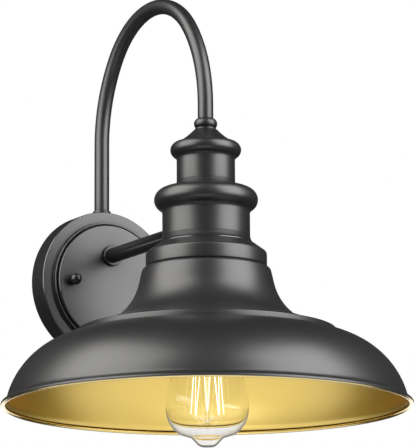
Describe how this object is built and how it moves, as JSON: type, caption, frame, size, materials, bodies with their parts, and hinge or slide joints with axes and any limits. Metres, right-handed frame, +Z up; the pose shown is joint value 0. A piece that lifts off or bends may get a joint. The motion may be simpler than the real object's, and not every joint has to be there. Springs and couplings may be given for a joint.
{
  "type": "outdoor wall lantern",
  "caption": "Gooseneck barn-style outdoor wall lantern: round canopy, arched tube, brace arm and domed shade over a screw-in clear filament bulb.",
  "frame": {"origin": "centre of the canopy on the wall plane, midway between the strap's outlet-box slots", "axes": "+Y into the wall, so the lantern stands out towards -Y; +Z up; +X to the right seen from the room"},
  "size_m": [0.31, 0.325, 0.3655],
  "materials": {
    "black_coat": "satin black powder coat with a very fine grain",
    "shade_coat": "satin black powder coat outside, satin gold paint inside",
    "zinc": "bright zinc plate",
    "black_hardware": "satin black, a little smoother than the shade",
    "ground_green": "green-dyed zinc plate",
    "foam_gasket": "closed-cell foam rubber",
    "porcelain": "white glaze",
    "brass": "stamped brass",
    "bulb_cap_metal": "rolled thread, bright",
    "bulb_black_glass": "black cap glass",
    "solder": "dull solder",
    "bulb_clear_glass": "clear, polished",
    "stem_glass": "clear rod glass",
    "filament_glow": "carbonised filament, glowing warm white",
    "support_wire": "fine molybdenum wire"
  },
  "bodies": {
    "lantern": {"wall_gasket": "foam_gasket", "mounting_strap": "zinc", "strap_studs": "zinc", "stud_nuts": "zinc", "ground_screw": "ground_green", "canopy": "black_coat", "gooseneck_tube": "black_coat", "gooseneck_bushing": "black_coat", "gooseneck_saddle": "zinc", "gooseneck_nut": "zinc", "gooseneck_nipple": "zinc", "arm_tube": "black_coat", "arm_collar": "black_coat", "arm_wall_nipple": "zinc", "arm_wall_washer": "zinc", "arm_wall_nut": "zinc", "arm_shade_nipple": "zinc", "arm_shade_saddle": "zinc", "arm_shade_nut": "zinc", "stem_nipple": "zinc", "ball_coupling": "black_coat", "cone_cap": "black_coat", "upper_cup": "black_coat", "lower_cup": "black_coat", "fitter_collar": "black_coat", "shade": "shade_coat", "shade_screws": "black_hardware", "shade_nuts": "zinc", "stem_washer": "zinc", "holder_bracket": "zinc", "holder_screws": "zinc", "holder_body": "porcelain", "screw_shell": "brass", "terminal_screws": "brass", "contact_base": "brass"},
    "washer_left": {"nut_washer_left": "black_hardware"},
    "washer_right": {"nut_washer_right": "black_hardware"},
    "nut_left": {"ball_nut_left": "black_hardware"},
    "nut_right": {"ball_nut_right": "black_hardware"},
    "contact": {"contact_tongue": "brass"},
    "bulb_foot": {"bulb_insulator": "bulb_black_glass", "bulb_contact": "solder"},
    "bulb": {"bulb_cap": "bulb_cap_metal", "bulb_glass": "bulb_clear_glass", "bulb_stem": "stem_glass", "bulb_filament": "filament_glow", "bulb_supports": "support_wire"}
  },
  "joints": [
    {"name": "bulb_travel", "type": "slide", "parent": "lantern", "child": "bulb_foot", "axis": [0, 0, -1], "range_m": [0, 0.0254]},
    {"name": "bulb_turn", "type": "hinge", "parent": "bulb_foot", "child": "bulb", "pos_m": [0, -0.17, -0.1185], "axis": [0, 0, -1], "range_deg": [0, 2521]},
    {"name": "contact_press", "type": "slide", "parent": "lantern", "child": "contact", "axis": [0, 0, 1], "range_m": [0, 0.001], "stiffness_N_per_m": 400, "springref_m": -0.001},
    {"name": "nut_left_travel", "type": "slide", "parent": "lantern", "child": "washer_left", "axis": [0, -1, 0], "range_m": [0, 0.0077]},
    {"name": "nut_left_turn", "type": "hinge", "parent": "washer_left", "child": "nut_left", "pos_m": [-0.03492, 0, 0], "axis": [0, -1, 0], "range_deg": [0, 3961]},
    {"name": "nut_right_travel", "type": "slide", "parent": "lantern", "child": "washer_right", "axis": [0, -1, 0], "range_m": [0, 0.0077]},
    {"name": "nut_right_turn", "type": "hinge", "parent": "washer_right", "child": "nut_right", "pos_m": [0.03492, 0, 0], "axis": [0, -1, 0], "range_deg": [0, 3961]}
  ],
  "couplings": [
    {"joint": "bulb_turn", "follows": "bulb_travel", "rad_per_m": 1731.6},
    {"joint": "nut_left_turn", "follows": "nut_left_travel", "rad_per_m": 8976},
    {"joint": "nut_right_turn", "follows": "nut_right_travel", "rad_per_m": 8976}
  ]
}
